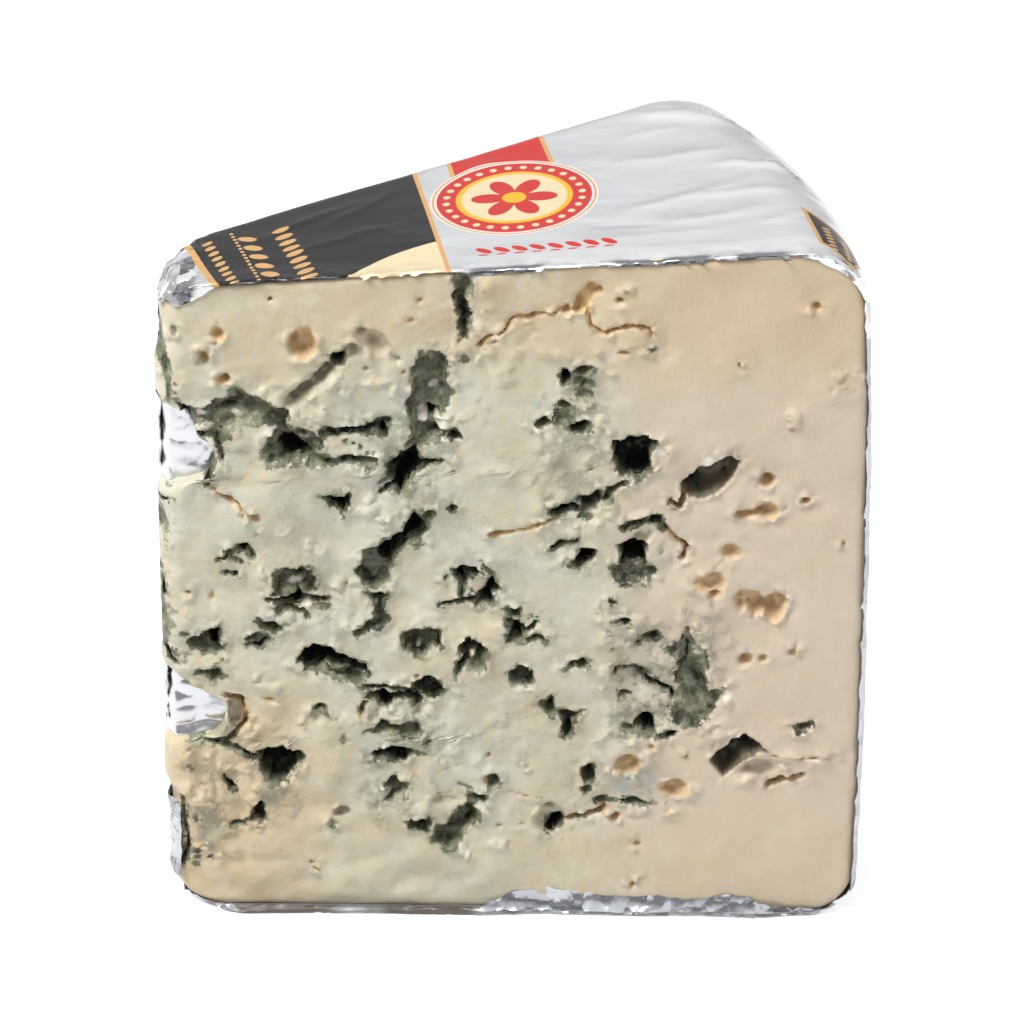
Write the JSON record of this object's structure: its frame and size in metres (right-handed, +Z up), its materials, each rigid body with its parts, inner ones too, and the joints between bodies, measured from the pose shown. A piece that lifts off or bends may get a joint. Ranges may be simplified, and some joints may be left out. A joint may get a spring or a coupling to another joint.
{
  "type": "blue cheese wedge",
  "caption": "Wedge of blue-veined cheese with a bare, crumbly cut face, wrapped in printed foil over its top, rim, back and base.",
  "frame": {"origin": "middle of the footprint, on the flat base", "axes": "+Z up, +X along the cut face from the blunt nose to the rim, +Y away from the cut face"},
  "size_m": [0.0892, 0.0526, 0.0952],
  "materials": {
    "cheese_paste": "moist cream paste with blue-green and black mould cavities",
    "printed_foil": "satin crinkled foil with fields of black, cream, gold and red print on top"
  },
  "bodies": {
    "root": {"cheese": "cheese_paste", "foil_wrap": "printed_foil"}
  },
  "joints": []
}
